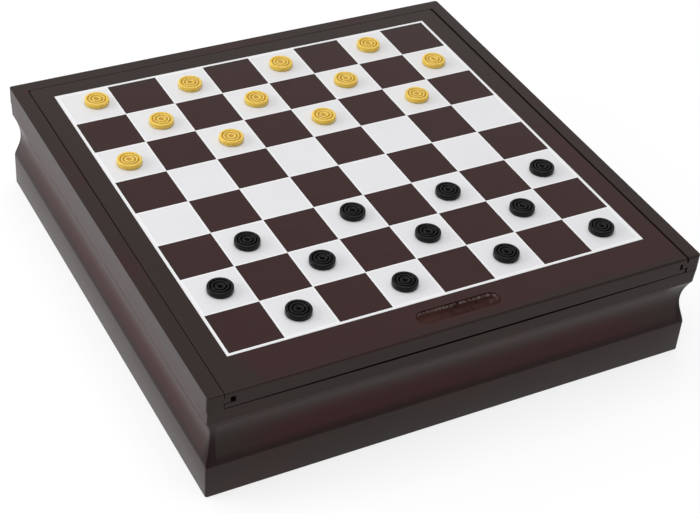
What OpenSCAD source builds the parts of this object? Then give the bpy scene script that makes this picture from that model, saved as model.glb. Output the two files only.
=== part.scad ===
// A wooden games box with a sliding lid. The top of the lid is an 8 by 8 board that is set
// up for draughts, and the inside is divided for chessmen, dominoes, cards and dice.
// Millimetres. Origin at the middle of the underside. X runs left to right, Y runs front to
// back, Z runs up. The lid slides out at the front, along -Y.

/* [Box] */
// Overall width, left to right
box_w = 342; // [330:1:430]
// Overall depth, front to back
box_d = 343; // [330:1:430]
// Height from the underside to the top of the rails
box_h = 80; // [78:0.5:120]
// Thickness of the wall mouldings
wall_t = 15; // [13:0.5:18]
// Rounding of the upright outer corners, in plan
corner_r = 2; // [0.5:0.25:4]
// Rounding of the top edge along the front
front_edge_r = 1.4; // [0.5:0.1:3]

/* [Wall moulding] */
// Flat band at the top of each side, rail included
band_h = 21.7; // [18:0.1:28]
// Flat band at the foot of each side
foot_h = 24.3; // [16:0.1:32]
// Depth of the cove between the two bands
cove_depth = 3.85; // [1:0.05:5]

/* [Rails] */
// Width of the left rail
left_rail_w = 10.3; // [8:0.1:13]
// Width of the right rail
right_rail_w = 9.2; // [8:0.1:13]
// Width of the back rail
back_rail_w = 9.4; // [8:0.1:13]
// How far the tongue of a side rail stands out
tongue_len = 4.1; // [3:0.1:4.2]
// Thickness of the tongue
tongue_t = 3.7; // [2.5:0.1:4.2]
// Depth of the tongue's upper face below the top of the box
tongue_drop = 3.6; // [3:0.1:4]

/* [Lid] */
// Thickness of the lid
lid_t = 11; // [10:0.1:14]
// Gap between the lid and the left rail
left_gap = 0.5; // [0.2:0.1:1.8]
// Gap between the lid and the right rail
right_gap = 1.6; // [0.2:0.1:1.8]
// Gap between the lid and the back rail
back_gap = 0.5; // [0.2:0.1:1]
// Gap between the lid's underside and the walls
under_gap = 1; // [0.2:0.1:1.5]
// Gap between the tongue and the lower lip of the lid's groove
groove_play = 0.6; // [0.2:0.1:1]
// Depth of the groove in the lid's left edge
left_groove = 7; // [4.5:0.1:9]
// Depth of the groove in the lid's right edge
right_groove = 4.6; // [4.5:0.1:9]
// Rounding of the lid's two back corners, in plan
lid_corner_r = 2.5; // [0.5:0.25:5]

/* [Finger scoop] */
// Overall length of the scoop
scoop_len = 58; // [30:1:90]
// Radius of the round-nosed cutter that makes the scoop
scoop_r = 6; // [5.6:0.1:9]
// Depth of the scoop below the lid's top
scoop_depth = 4.7; // [3.5:0.1:5.5]
// Distance from the box's front to the middle of the scoop
scoop_y = 14.6; // [10:0.1:16]

/* [Board] */
// Side of one square of the board
square = 36; // [28:0.5:37]
// Distance from the box's front to the first row of squares
board_y = 30; // [27:0.1:31]
// How far the middle of the board lies to the right of the middle of the box
board_x = -0.5; // [-2:0.1:2]
// White border around the squares
border = 1.8; // [0.5:0.1:2]
// White line that is left between two dark squares where their corners meet
white_line = 0.6; // [0.4:0.1:1.5]
// Thickness of the white print
print_t = 0.2; // [0.1:0.05:0.4]

/* [Draughts] */
// Radius of a draught
draught_r = 8.4; // [8:0.1:14]
// Thickness of a draught
draught_t = 3.9; // [2.6:0.1:6]
// Width of the raised rim of a draught
draught_rim = 1.9; // [0.8:0.1:2.2]
// Width of each raised ring inside the rim
ring_w = 1.55; // [0.8:0.05:1.8]
// Width of each groove between the rings
ring_gap = 0.7; // [0.4:0.05:1]
// Depth of the grooves
ring_depth = 0.5; // [0.3:0.1:0.7]
// Radius of the boss in the middle
boss_r = 0.5; // [0.3:0.1:0.6]
// Rounding of a draught's outer edges
draught_edge = 0.6; // [0.2:0.1:0.8]

/* [Inside] */
// Height of the bottom panel above the underside
panel_z = 5; // [3:0.5:8]
// Thickness of the bottom panel
panel_t = 4; // [3:0.5:6]
// Depth of the groove that holds the bottom panel
panel_groove = 5; // [3:0.5:6]
// Thickness of the felt lining
felt_t = 1; // [0.5:0.1:2]
// Thickness of the dividers
divider_t = 6; // [4:0.5:8]
// Height of the dividers
divider_h = 50; // [30:1:54]
// Depth of the housings that hold the ends of the dividers
housing = 2; // [1:0.25:2.5]
// Clearance of glued joints
glue_gap = 0.1; // [0.05:0.05:0.2]

/* [Chessmen] */
// Height of the king
king_h = 54; // [50:0.5:56]
// Base radius of the king
king_r = 11; // [9:0.25:12]
// Height of the queen
queen_h = 49; // [44:0.5:52]
// Base radius of the queen
queen_r = 10.5; // [8.5:0.25:12]
// Height of a bishop
bishop_h = 43; // [38:0.5:46]
// Height of a knight
knight_h = 40; // [36:0.5:44]
// Height of a rook
rook_h = 34; // [30:0.5:38]
// Base radius of the bishops, knights and rooks
officer_r = 9.5; // [8:0.25:11]
// Height of a pawn
pawn_h = 30; // [26:0.5:34]
// Base radius of a pawn
pawn_r = 8.5; // [7:0.25:10]
// Distance between neighbouring chessmen in their bay
chess_pitch = 25; // [24.5:0.5:30]

/* [Dominoes, cards and dice] */
// Length of a domino
domino_l = 46; // [40:0.5:50]
// Width of a domino
domino_w = 23; // [20:0.5:25]
// Thickness of a domino
domino_t = 7; // [5:0.5:9]
// Length of a card pack
pack_l = 91; // [88:0.5:92]
// Width of a card pack
pack_w = 65; // [60:0.5:68]
// Thickness of a card pack
pack_t = 17; // [12:0.5:22]
// Side of a die
die = 16; // [12:0.5:19]
// Height of the dice cup
cup_h = 52; // [40:1:54]
// Radius of the dice cup's mouth
cup_r = 29; // [24:0.5:32]
// Wall of the dice cup
cup_wall = 2.5; // [2:0.5:4]

/* [Hidden] */
$fn = 64;
far = 1000;
cut = 1;

wood = "#3b2a27";
wood_black = "#35302c";
white = "#e6e5e8";
yellow = "#e3b93f";
black = "#1b1b1d";
felt_green = "#23492f";
pale_wood = "#d8b987";
brown_wood = "#4a2a1c";
ivory = "#efe9da";

function two_digits(i) = i < 10 ? str("0", i) : str(i);
DRAUGHTS = 12;
LIGHT = [for (i = [1:DRAUGHTS]) str("light_draught_", two_digits(i))];
DARK = [for (i = [1:DRAUGHTS]) str("dark_draught_", two_digits(i))];

// Box and cove
wall_h = box_h - lid_t - under_gap;
in_w = box_w - 2 * wall_t;
in_d = box_d - 2 * wall_t;
in_left = -in_w / 2;
in_front = -in_d / 2;
floor_z = panel_z + panel_t + felt_t;
cove_half = (box_h - band_h - foot_h) / 2;
cove_z = foot_h + cove_half;
cove_r = (cove_half * cove_half + cove_depth * cove_depth) / (2 * cove_depth);

// Lid and board
tongue_top = box_h - tongue_drop;
lid_left = left_rail_w + left_gap - box_w / 2;
lid_right = box_w / 2 - right_rail_w - right_gap;
lid_back = box_d / 2 - back_rail_w - back_gap;
grid = 8 * square;
grid_left = board_x - grid / 2;
grid_front = board_y - box_d / 2;
board_z = box_h + print_t;

// Bays inside the box: the chessmen and an empty draughts bay on the left, dominoes and
// cards at the front right, and dice at the back right.
bay_margin = 4;
chess_rows = 8;
chess_cols = 4;
chess_bay_w = chess_cols * chess_pitch + 2 * bay_margin;
chess_bay_d = chess_rows * chess_pitch + 2 * bay_margin;
tile_gap = 0.5;
layer_gap = 0.1;
domino_cols = 2;
domino_rows = 7;
domino_layers = 2;
domino_margin = 2.5;
domino_bay_w = domino_cols * (domino_l + tile_gap) - tile_gap + 2 * domino_margin;
packs = 2;
pack_margin = 3;
front_bay_d = max(domino_rows * (domino_w + tile_gap) - tile_gap + 2 * domino_margin,
    packs * (pack_l + pack_margin) + pack_margin);
spine_x = in_left + chess_bay_w;
left_divider_y = in_front + chess_bay_d;
right_divider_y = in_front + front_bay_d;
middle_x = spine_x + divider_t + domino_bay_w;

// Each divider as its lowest and highest corner in plan, housed ends included.
SPINE = [[spine_x, in_front - housing], [spine_x + divider_t, -in_front + housing]];
LEFT_CROSS = [[in_left - housing, left_divider_y], [spine_x + housing, left_divider_y + divider_t]];
RIGHT_CROSS = [[spine_x + divider_t - housing, right_divider_y],
    [-in_left + housing, right_divider_y + divider_t]];
MIDDLE = [[middle_x, in_front - housing], [middle_x + divider_t, right_divider_y + housing]];

// How far each draught stands off the middle of its square, row by row from the back,
// because they were set down by hand.
LIGHT_NUDGE = [
    [4.5, 2], [0.5, -1.5], [-0.25, 0], [-0.75, 0.5],
    [0.25, -1], [-0.25, 0], [-2.25, -0.25], [-2, -0.25],
    [-1.25, -1.25], [0, -1], [-2, -0.5], [-0.25, -0.5]];
DARK_NUDGE = [
    [-1.5, -0.5], [1.75, 2], [-1.5, -1.5], [-0.75, -2],
    [0.5, 0], [-2.5, 1], [0, 0], [-1.25, 0.5],
    [-1, -0.75], [-1.25, -1.5], [-0.25, -1], [-0.5, -1.25]];

// ---------- shared shapes ----------

// A rectangle with round corners, centred.
module round_rect(w, d, r) {
    square([w - 2 * r, d], center = true);
    square([w, d - 2 * r], center = true);
    for (sx = [-1, 1], sy = [-1, 1]) translate([sx * (w / 2 - r), sy * (d / 2 - r)]) circle(r);
}

// The solid that an outline in Y and Z sweeps from x = -w / 2 to w / 2.
module sweep_x(w) {
    rotate([90, 0, 90]) translate([0, 0, -w / 2]) linear_extrude(w) children();
}

// Everything behind the front plane, with its top front edge rounded.
module behind_front() {
    r = front_edge_r;
    sweep_x(box_w + 2 * cut) translate([-box_d / 2, 0]) {
        translate([0, -cut]) square([box_d + cut, box_h - r + cut]);
        translate([r, 0]) square([box_d - r + cut, box_h]);
        translate([r, box_h - r]) circle(r);
    }
}

// Turns the children about the axis, without what lies on its far side.
module turned() {
    rotate_extrude() difference() {
        children();
        translate([-far, -far]) square([far, 2 * far]);
    }
}

// ---------- walls and rails ----------

// Cross-section of a wall from its outer face: band, cove, foot and panel groove.
module wall_section() {
    difference() {
        square([wall_t, wall_h]);
        translate([cove_depth - cove_r, cove_z]) circle(cove_r, $fn = 180);
        translate([wall_t - panel_groove, panel_z]) square([panel_groove + cut, panel_t + glue_gap]);
    }
}

// The front wall of a box that is len wide and 2 * reach deep, mitred at both ends.
module mitred_wall(len, reach) {
    intersection() {
        translate([0, -reach, 0]) sweep_x(len) wall_section();
        translate([0, 0, -cut]) linear_extrude(wall_h + 2 * cut) intersection() {
            polygon([[-len / 2, -reach], [len / 2, -reach],
                [len / 2 - wall_t, wall_t - reach], [wall_t - len / 2, wall_t - reach]]);
            round_rect(len, 2 * reach, corner_r);
        }
    }
}

// The space that a divider takes, grown by the glue gap and open to the top of the walls.
module housing_cut(bar) {
    low = bar[0];
    high = bar[1];
    translate([low.x - glue_gap, low.y - glue_gap, floor_z])
        cube([high.x - low.x + 2 * glue_gap, high.y - low.y + 2 * glue_gap, wall_h]);
}

module front_wall() {
    color(wood) difference() {
        mitred_wall(box_w, box_d / 2);
        housing_cut(SPINE);
        housing_cut(MIDDLE);
    }
}

module back_wall() {
    color(wood) difference() {
        rotate([0, 0, 180]) mitred_wall(box_w, box_d / 2);
        housing_cut(SPINE);
    }
}

module left_wall() {
    color(wood) difference() {
        rotate([0, 0, -90]) mitred_wall(box_d, box_w / 2);
        housing_cut(LEFT_CROSS);
    }
}

module right_wall() {
    color(wood) difference() {
        rotate([0, 0, 90]) mitred_wall(box_d, box_w / 2);
        housing_cut(RIGHT_CROSS);
    }
}

// A side rail w wide, on the left: a strip on the wall with a tongue for the lid, mitred at
// the back.
module rail_on_left(w) {
    x = -box_w / 2;
    y = box_d / 2;
    intersection() {
        union() {
            translate([x, -y, wall_h]) cube([w, box_d, box_h - wall_h]);
            translate([x, -y, tongue_top - tongue_t])
                cube([w + tongue_len, box_d - back_rail_w, tongue_t]);
        }
        behind_front();
        translate([0, 0, wall_h - cut]) linear_extrude(box_h) intersection() {
            polygon([[x, -y - cut], [x + w + tongue_len, -y - cut],
                [x + w + tongue_len, y - back_rail_w], [x + w, y - back_rail_w], [x, y]]);
            round_rect(box_w, box_d, corner_r);
        }
    }
}

module left_rail() {
    color(wood_black) rail_on_left(left_rail_w);
}

module right_rail() {
    color(wood_black) mirror([1, 0, 0]) rail_on_left(right_rail_w);
}

module back_rail() {
    x = box_w / 2;
    y = box_d / 2;
    color(wood_black) translate([0, 0, wall_h]) linear_extrude(box_h - wall_h) intersection() {
        polygon([[-x, y], [x, y], [x - right_rail_w, y - back_rail_w],
            [left_rail_w - x, y - back_rail_w]]);
        round_rect(box_w, box_d, corner_r);
    }
}

// ---------- inside the box ----------

module base_panel() {
    w = in_w + 2 * (panel_groove - glue_gap);
    d = in_d + 2 * (panel_groove - glue_gap);
    color(brown_wood) translate([-w / 2, -d / 2, panel_z]) cube([w, d, panel_t]);
}

module lining() {
    w = in_w - 2 * glue_gap;
    d = in_d - 2 * glue_gap;
    color(felt_green) translate([-w / 2, -d / 2, panel_z + panel_t]) cube([w, d, felt_t]);
}

module divider(bar) {
    color(brown_wood) translate([bar[0].x, bar[0].y, floor_z])
        cube([bar[1].x - bar[0].x, bar[1].y - bar[0].y, divider_h]);
}

module spine_divider() {
    difference() {
        divider(SPINE);
        housing_cut(LEFT_CROSS);
        housing_cut(RIGHT_CROSS);
    }
}

module left_divider() {
    divider(LEFT_CROSS);
}

module right_divider() {
    difference() {
        divider(RIGHT_CROSS);
        housing_cut(MIDDLE);
    }
}

module middle_divider() {
    divider(MIDDLE);
}

// ---------- lid and board ----------

// The groove for a tongue, between x = from and x = to.
module lid_groove(from, to) {
    h = tongue_t + groove_play;
    translate([from, -box_d, tongue_top - h]) cube([to - from, 2 * box_d, h]);
}

// The slot that a round-nosed cutter leaves for the fingers: a round channel along X with
// the lower half of half a ball at each end.
module finger_scoop() {
    half = scoop_len / 2 - sqrt(2 * scoop_r * scoop_depth - scoop_depth * scoop_depth);
    translate([0, scoop_y - box_d / 2, box_h + scoop_r - scoop_depth]) {
        rotate([0, 90, 0]) cylinder(r = scoop_r, h = 2 * half, center = true);
        for (side = [-1, 1]) translate([side * half, 0, 0]) rotate([0, 0, -90 * side])
            rotate_extrude(angle = 180) intersection() {
                circle(scoop_r);
                translate([0, -scoop_r]) square(scoop_r);
            }
    }
}

module lid_panel() {
    r = lid_corner_r;
    front = -box_d / 2;
    color(wood) difference() {
        intersection() {
            translate([0, 0, box_h - lid_t]) linear_extrude(lid_t) {
                translate([lid_left, front]) square([lid_right - lid_left, lid_back - front - r]);
                translate([lid_left + r, front])
                    square([lid_right - lid_left - 2 * r, lid_back - front]);
                for (x = [lid_left + r, lid_right - r]) translate([x, lid_back - r]) circle(r);
            }
            behind_front();
        }
        lid_groove(lid_left - cut, lid_left + left_groove);
        lid_groove(lid_right - right_groove, lid_right + cut);
        finger_scoop();
    }
}

module board_print() {
    field = grid + 2 * border;
    dark = square - white_line / 2;
    color(white) translate([0, 0, box_h]) linear_extrude(print_t) difference() {
        translate([grid_left - border, grid_front - border]) square(field);
        for (i = [0:7], j = [0:7]) if ((i + j) % 2 == 0)
            translate([grid_left + (i + 0.5) * square, grid_front + (j + 0.5) * square])
                square(dark, center = true);
    }
}

// ---------- draughts ----------

// Half of a draught's face: the grooves that are cut into it, from the middle outwards.
module face_grooves() {
    rim_in = draught_r - draught_rim;
    ring_pitch = ring_w + ring_gap;
    for (k = [0:1]) translate([rim_in - ring_gap - k * ring_pitch, 0]) square([ring_gap, ring_depth]);
    dish = rim_in - 2 * ring_pitch;
    translate([boss_r, 0]) square([dish - boss_r, ring_depth]);
}

module draught_shape() {
    e = draught_edge;
    turned() difference() {
        union() {
            square([draught_r - e, draught_t]);
            translate([0, e]) square([draught_r, draught_t - 2 * e]);
            for (z = [e, draught_t - e]) translate([draught_r - e, z]) circle(e);
        }
        face_grooves();
        translate([0, draught_t - ring_depth]) face_grooves();
    }
}

// Draught k of a side whose nearest row to its own edge is home; step leads to the middle.
module placed_draught(k, home, nudge) {
    step = home > 3 ? -1 : 1;
    row = step < 0 ? home - floor(k / 4) : home + 2 - floor(k / 4);
    col = 2 * (k % 4) + 1 - row % 2;
    translate([grid_left + (col + 0.5) * square + nudge.x,
        grid_front + (row + 0.5) * square + nudge.y, board_z]) draught_shape();
}

module light_draught(k) {
    color(yellow) placed_draught(k, 7, LIGHT_NUDGE[k]);
}

module dark_draught(k) {
    color(black) placed_draught(k, 0, DARK_NUDGE[k]);
}

// ---------- chessmen ----------

// A disc with a round edge, in the half-plane that is turned about the axis.
module bead(r, t, z) {
    translate([0, z]) square([r - t / 2, t]);
    translate([r - t / 2, z + t / 2]) circle(t / 2);
}

// A stem from radius r1 at height z1 to r2 at z2, with a hollow of the given depth.
module stem(r1, z1, r2, z2, hollow) {
    run = [r2 - r1, z2 - z1];
    chord = norm(run);
    curve_r = (chord * chord / 4 + hollow * hollow) / (2 * hollow);
    out = [run.y, -run.x] / chord;
    centre = [r1 + r2, z1 + z2] / 2 + out * (curve_r - hollow);
    difference() {
        polygon([[0, z1], [r1, z1], [r2, z2], [0, z2]]);
        translate(centre) circle(curve_r);
    }
}

// The foot and stem that all chessmen share, up to a collar at height z.
module chess_foot(r, z, neck) {
    foot = 3.2;
    step = 1.8;
    bead(r, foot, 0);
    bead(r * 0.84, step, foot);
    stem(r * 0.72, foot + step, neck, z, r * 0.13);
    bead(neck + 2.2, 1.6, z - 1);
}

module pawn() {
    head = 5;
    neck_z = pawn_h - 2 * head + 0.8;
    turned() {
        chess_foot(pawn_r, neck_z, 2.6);
        translate([0, pawn_h - head]) circle(head);
    }
}

module rook() {
    neck_z = rook_h - 11;
    tower = 6.6;
    difference() {
        turned() {
            chess_foot(officer_r, neck_z, 4.4);
            stem(4.8, neck_z, tower, rook_h - 6, 0.8);
            translate([0, rook_h - 6.2]) square([tower, 6.2]);
        }
        translate([0, 0, rook_h - 3]) cylinder(r = 4.3, h = 3 + cut);
        for (a = [0, 60, 120]) rotate([0, 0, a]) translate([-far, -0.9, rook_h - 2.2])
            cube([2 * far, 1.8, 3]);
    }
}

module bishop() {
    neck_z = bishop_h - 16.5;
    head_r = 8;
    head_w = 5.2;
    head_half = sqrt(head_r * head_r - (head_r - head_w) * (head_r - head_w));
    head_z = bishop_h - 2.4 - head_half;
    difference() {
        turned() {
            chess_foot(officer_r, neck_z, 3);
            bead(4.2, 1.4, neck_z + 1.2);
            intersection() {
                translate([head_w - head_r, head_z]) circle(head_r);
                translate([0, head_z - head_half + 0.8]) square([head_w, 2 * head_half]);
            }
            translate([0, bishop_h - 1.7]) circle(1.7);
        }
        translate([1.6, -far, head_z + 2]) rotate([0, 35, 0]) cube([1, 2 * far, far]);
    }
}

// Outline of the knight's head and neck, nose towards +X, from height z up to 26 above it.
module knight_outline(z) {
    translate([0, z]) polygon([
        [-6.6, 0], [-7.8, 6], [-7.4, 13], [-5.6, 19], [-2.8, 23.4], [-0.6, 26], [0.9, 22.6],
        [3.6, 20.4], [8.4, 14.6], [9, 12.2], [8, 10.2], [5.6, 10], [3.4, 11.2], [2.2, 9.4],
        [4.4, 5.2], [6.4, 0]]);
}

module knight() {
    neck_z = knight_h - 26;
    turned() {
        bead(officer_r, 3.2, 0);
        bead(officer_r * 0.84, 1.8, 3.2);
        stem(officer_r * 0.74, 5, 7.4, neck_z - 1, 0.6);
        bead(8.6, 2, neck_z - 1.6);
    }
    difference() {
        rotate([90, 0, 0]) linear_extrude(9, center = true) knight_outline(neck_z);
        for (side = [-1, 1]) translate([8, side * 6.3, neck_z - cut])
            cylinder(r = 3.4, h = 30);
        for (side = [-1, 1]) translate([2.6, side * 4.5, neck_z + 17.4]) sphere(0.9);
    }
}

// The flared crown of the king and the queen, from height z to z + h.
module crown(z, h, low, high) {
    stem(low, z, high, z + h, 1.4);
    bead(high, 1.6, z + h - 0.8);
}

module queen() {
    neck_z = queen_h - 17;
    crown_h = 11.5;
    rim = 6.6;
    difference() {
        turned() {
            chess_foot(queen_r, neck_z, 3.4);
            bead(4.8, 1.4, neck_z + 1.2);
            crown(neck_z + 0.4, crown_h + 1.6, 3.6, rim);
            translate([0, neck_z + crown_h + 0.6]) circle(4.4);
            translate([0, queen_h - 1.7]) circle(1.7);
        }
        for (k = [0:7]) rotate([0, 0, k * 45]) translate([rim + 0.4, 0, neck_z + crown_h + 3.4])
            sphere(1.7);
    }
}

module king() {
    neck_z = king_h - 22.5;
    crown_h = 12;
    cross_z = king_h - 7.6;
    turned() {
        chess_foot(king_r, neck_z, 3.8);
        bead(5.2, 1.4, neck_z + 1.2);
        crown(neck_z + 0.4, crown_h + 1.6, 3.8, 6.6);
        translate([0, neck_z + crown_h - 1.4]) circle(5.6);
    }
    translate([-1.1, -1, cross_z - 3]) cube([2.2, 2, 10.6]);
    translate([-3, -1, cross_z + 2.6]) cube([6, 2, 2.2]);
}

// Puts a chessman at a column and a row of its bay.
module at_chess(col, row) {
    translate([in_left + bay_margin + (col + 0.5) * chess_pitch,
        in_front + bay_margin + (row + 0.5) * chess_pitch, floor_z]) children();
}

// Two officers, as far from the ends of their column as gap rows.
module officer_pair(col, gap) {
    for (row = [gap, chess_rows - 1 - gap]) at_chess(col, row) children();
}

light_col = 0;
dark_col = 3;

module light_king() { color(pale_wood) at_chess(light_col, 4) king(); }
module light_queen() { color(pale_wood) at_chess(light_col, 3) queen(); }
module light_bishops() { color(pale_wood) officer_pair(light_col, 2) bishop(); }
module light_knights() { color(pale_wood) officer_pair(light_col, 1) knight(); }
module light_rooks() { color(pale_wood) officer_pair(light_col, 0) rook(); }
module light_pawns() {
    color(pale_wood) for (row = [0:chess_rows - 1]) at_chess(light_col + 1, row) pawn();
}
module dark_king() { color(brown_wood) at_chess(dark_col, 4) king(); }
module dark_queen() { color(brown_wood) at_chess(dark_col, 3) queen(); }
module dark_bishops() { color(brown_wood) officer_pair(dark_col, 2) bishop(); }
module dark_knights() {
    color(brown_wood) officer_pair(dark_col, 1) rotate([0, 0, 180]) knight();
}
module dark_rooks() { color(brown_wood) officer_pair(dark_col, 0) rook(); }
module dark_pawns() {
    color(brown_wood) for (row = [0:chess_rows - 1]) at_chess(dark_col - 1, row) pawn();
}

// ---------- dominoes, cards and dice ----------

// One tile, centred in plan, with round corners and the line across its face.
module domino() {
    line_w = 0.8;
    line_depth = 0.4;
    difference() {
        linear_extrude(domino_t) round_rect(domino_l, domino_w, 2);
        translate([-line_w / 2, -domino_w / 2 + 2, domino_t - line_depth])
            cube([line_w, domino_w - 4, line_depth + cut]);
    }
}

module dominoes() {
    x0 = spine_x + divider_t + domino_margin + domino_l / 2;
    y0 = in_front + domino_margin + domino_w / 2;
    color(ivory) for (i = [0:domino_cols - 1], j = [0:domino_rows - 1], k = [0:domino_layers - 1])
        translate([x0 + i * (domino_l + tile_gap), y0 + j * (domino_w + tile_gap),
            floor_z + k * (domino_t + layer_gap)]) domino();
}

// A closed tuck box of cards with a thumb notch at its back end.
module card_pack() {
    skin = 0.6;
    difference() {
        translate([-pack_w / 2, -pack_l / 2, 0]) cube([pack_w, pack_l, pack_t]);
        translate([0, pack_l / 2, pack_t - skin]) cylinder(r = 9, h = skin + cut);
    }
}

// Pack k of those that share the card bay from front to back.
module placed_pack(k) {
    bay_mid = (middle_x + divider_t - in_left) / 2;
    translate([bay_mid, in_front + (k + 0.5) * front_bay_d / packs, floor_z]) card_pack();
}

module first_card_pack() {
    color("#a3262c") placed_pack(0);
}

module second_card_pack() {
    color("#23407f") placed_pack(1);
}

// A die: a cube whose corners are rounded off by a ball.
module one_die() {
    translate([0, 0, die / 2]) intersection() {
        cube(die, center = true);
        sphere(0.725 * die);
    }
}

dice_bay_front = right_divider_y + divider_t;
dice_bay_left = spine_x + divider_t;
cup_margin = 14;

// Five dice beside the cup, three in front of two.
module dice() {
    spacing = 1.5 * die;
    left = dice_bay_left + 2 * (cup_r + cup_margin);
    color(ivory) for (k = [0:4])
        translate([left + (k % 3 + 0.5) * spacing, dice_bay_front + (floor(k / 3) + 1) * spacing,
            floor_z]) rotate([0, 0, 25 * k]) one_die();
}

module dice_cup() {
    bottom_r = cup_r - 4;
    rim = 3;
    color(black) translate([dice_bay_left + cup_r + cup_margin,
        dice_bay_front + cup_r + cup_margin, floor_z])
        rotate_extrude() difference() {
            union() {
                polygon([[0, 0], [bottom_r, 0], [cup_r - 1.5, cup_h - rim], [0, cup_h - rim]]);
                translate([0, cup_h - rim]) square([cup_r - rim / 2, rim]);
                translate([cup_r - rim / 2, cup_h - rim / 2]) circle(rim / 2);
            }
            polygon([[0, cup_wall], [bottom_r - cup_wall, cup_wall],
                [cup_r - 1.5 - cup_wall, cup_h + cut], [0, cup_h + cut]]);
        }
}

// ---------- nodes ----------

front_wall();
back_wall();
left_wall();
right_wall();
left_rail();
right_rail();
back_rail();
base_panel();
lining();
spine_divider();
left_divider();
right_divider();
middle_divider();
lid_panel();
board_print();
light_king();
light_queen();
light_bishops();
light_knights();
light_rooks();
light_pawns();
dark_king();
dark_queen();
dark_bishops();
dark_knights();
dark_rooks();
dark_pawns();
dominoes();
first_card_pack();
second_card_pack();
dice();
dice_cup();
for (k = [0:DRAUGHTS - 1]) {
    light_draught(k);
    dark_draught(k);
}
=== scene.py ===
"""The looks of a wooden games box whose sliding lid is a draughts board.

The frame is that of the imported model: X to the right, Y to the back, Z up, with the origin at
the middle of the underside. Sizes and places here are millimetres, also inside materials,
except for the camera and the lights, which are placed in metres.
"""

import math
import random

import bmesh
import bpy
from mathutils import Matrix, Vector


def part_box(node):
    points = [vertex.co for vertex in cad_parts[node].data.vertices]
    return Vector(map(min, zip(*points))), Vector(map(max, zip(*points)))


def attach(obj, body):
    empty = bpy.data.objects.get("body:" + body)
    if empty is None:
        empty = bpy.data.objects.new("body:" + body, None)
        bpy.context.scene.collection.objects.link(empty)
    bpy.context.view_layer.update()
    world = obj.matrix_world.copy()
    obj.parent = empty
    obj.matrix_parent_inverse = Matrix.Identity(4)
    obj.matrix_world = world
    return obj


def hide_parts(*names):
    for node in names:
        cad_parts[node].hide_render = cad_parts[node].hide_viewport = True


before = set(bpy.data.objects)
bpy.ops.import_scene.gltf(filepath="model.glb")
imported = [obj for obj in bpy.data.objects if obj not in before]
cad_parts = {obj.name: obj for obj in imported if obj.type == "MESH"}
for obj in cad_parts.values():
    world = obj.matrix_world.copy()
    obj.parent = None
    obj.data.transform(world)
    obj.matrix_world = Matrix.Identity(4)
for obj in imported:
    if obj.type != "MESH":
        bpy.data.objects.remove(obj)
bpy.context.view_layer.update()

MM = 0.001

# ---------- the camera and the light ----------

# Where the photograph was taken from, worked out from the board's printed grid: in metres and
# degrees, with the lens and its sensor in millimetres.
CAMERA_PLACE = (-0.4590, -0.8035, 0.7305)
CAMERA_AZIMUTH = -30.453
CAMERA_ELEVATION = 38.072
CAMERA_ROLL = 5.077
CAMERA_LENS = 87.38
SENSOR = 36

# How bright the studio is toward the horizon, high behind the box, overhead and high in front.
HORIZON_LEVEL = 0.85
BEHIND_LEVEL = 0.88
OVERHEAD_LEVEL = 0.46
FRONT_LEVEL = 0.42

# The floor: how white it is to the light, and what the camera sees of it as white and as glow.
FLOOR_WHITE = 0.85
FLOOR_SEEN = 0.30
FLOOR_GLOW = 0.74

# It reaches this many metres each way, and lies this many millimetres under the walls' feet, so
# that no two faces fall together.
FLOOR_REACH = 8
FLOOR_DROP = 0.1

# ---------- colours, as linear red, green and blue ----------

# Stained wood: fields and edges, grain and pores, thick stain, wear, painted shade and highlight.
BLACK_STAIN = (0.030, 0.0200, 0.0168)
RED_STAIN = (0.040, 0.0165, 0.0160)
MAROON_STAIN = (0.046, 0.0125, 0.0120)
SIDE_STAIN = (0.041, 0.0195, 0.0172)
GRAIN_STAIN = (0.016, 0.009, 0.008)
PORE_STAIN = (0.012, 0.007, 0.006)
# Thick stain, whose colour is also painted as shade in creases, along gaps and on the feet.
THICK_STAIN_AND_SHADE = (0.011, 0.0008, 0.0008)
SCOOP_STAIN = (0.043, 0.015, 0.013)
LEFT_OF_SCOOP = (0.066, 0.024, 0.017)
# A painted highlight: the pale strokes on the scoop's far upper edge.
SCOOP_HIGHLIGHT = (0.25, 0.20, 0.19)
CHIPPED = (0.060, 0.014, 0.011)

# The printed board.
WHITE_INK = (0.745, 0.745, 0.76)
THIN_INK = (0.725, 0.725, 0.745)
MOTTLED_INK = (0.66, 0.66, 0.69)
DENSE_INK = (0.87, 0.87, 0.88)

# Inside the box.
BROWN_STAIN = (0.085, 0.034, 0.017)
BROWN_GRAIN = (0.045, 0.017, 0.009)
BROWN_FLECK = (0.02, 0.008, 0.005)
FELT_GREEN = (0.010, 0.060, 0.030)
FELT_NAP = (0.022, 0.105, 0.055)
FELT_FIBRE = (0.06, 0.16, 0.10)
PALE_WOOD = (0.52, 0.33, 0.15)
PALE_GRAIN = (0.40, 0.23, 0.09)
DARK_WOOD = (0.060, 0.020, 0.010)
DARK_GRAIN = (0.025, 0.009, 0.006)
CARD_RED = (0.36, 0.016, 0.022)
CARD_BLUE = (0.018, 0.060, 0.26)
CARD_WHITE = (0.74, 0.72, 0.67)
BARE_CARD = (0.45, 0.40, 0.31)
CUP_LEATHER = (0.012, 0.009, 0.008)
WORN_LEATHER = (0.026, 0.020, 0.017)
FLAT_BLACK = (0.008, 0.008, 0.008)

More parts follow.
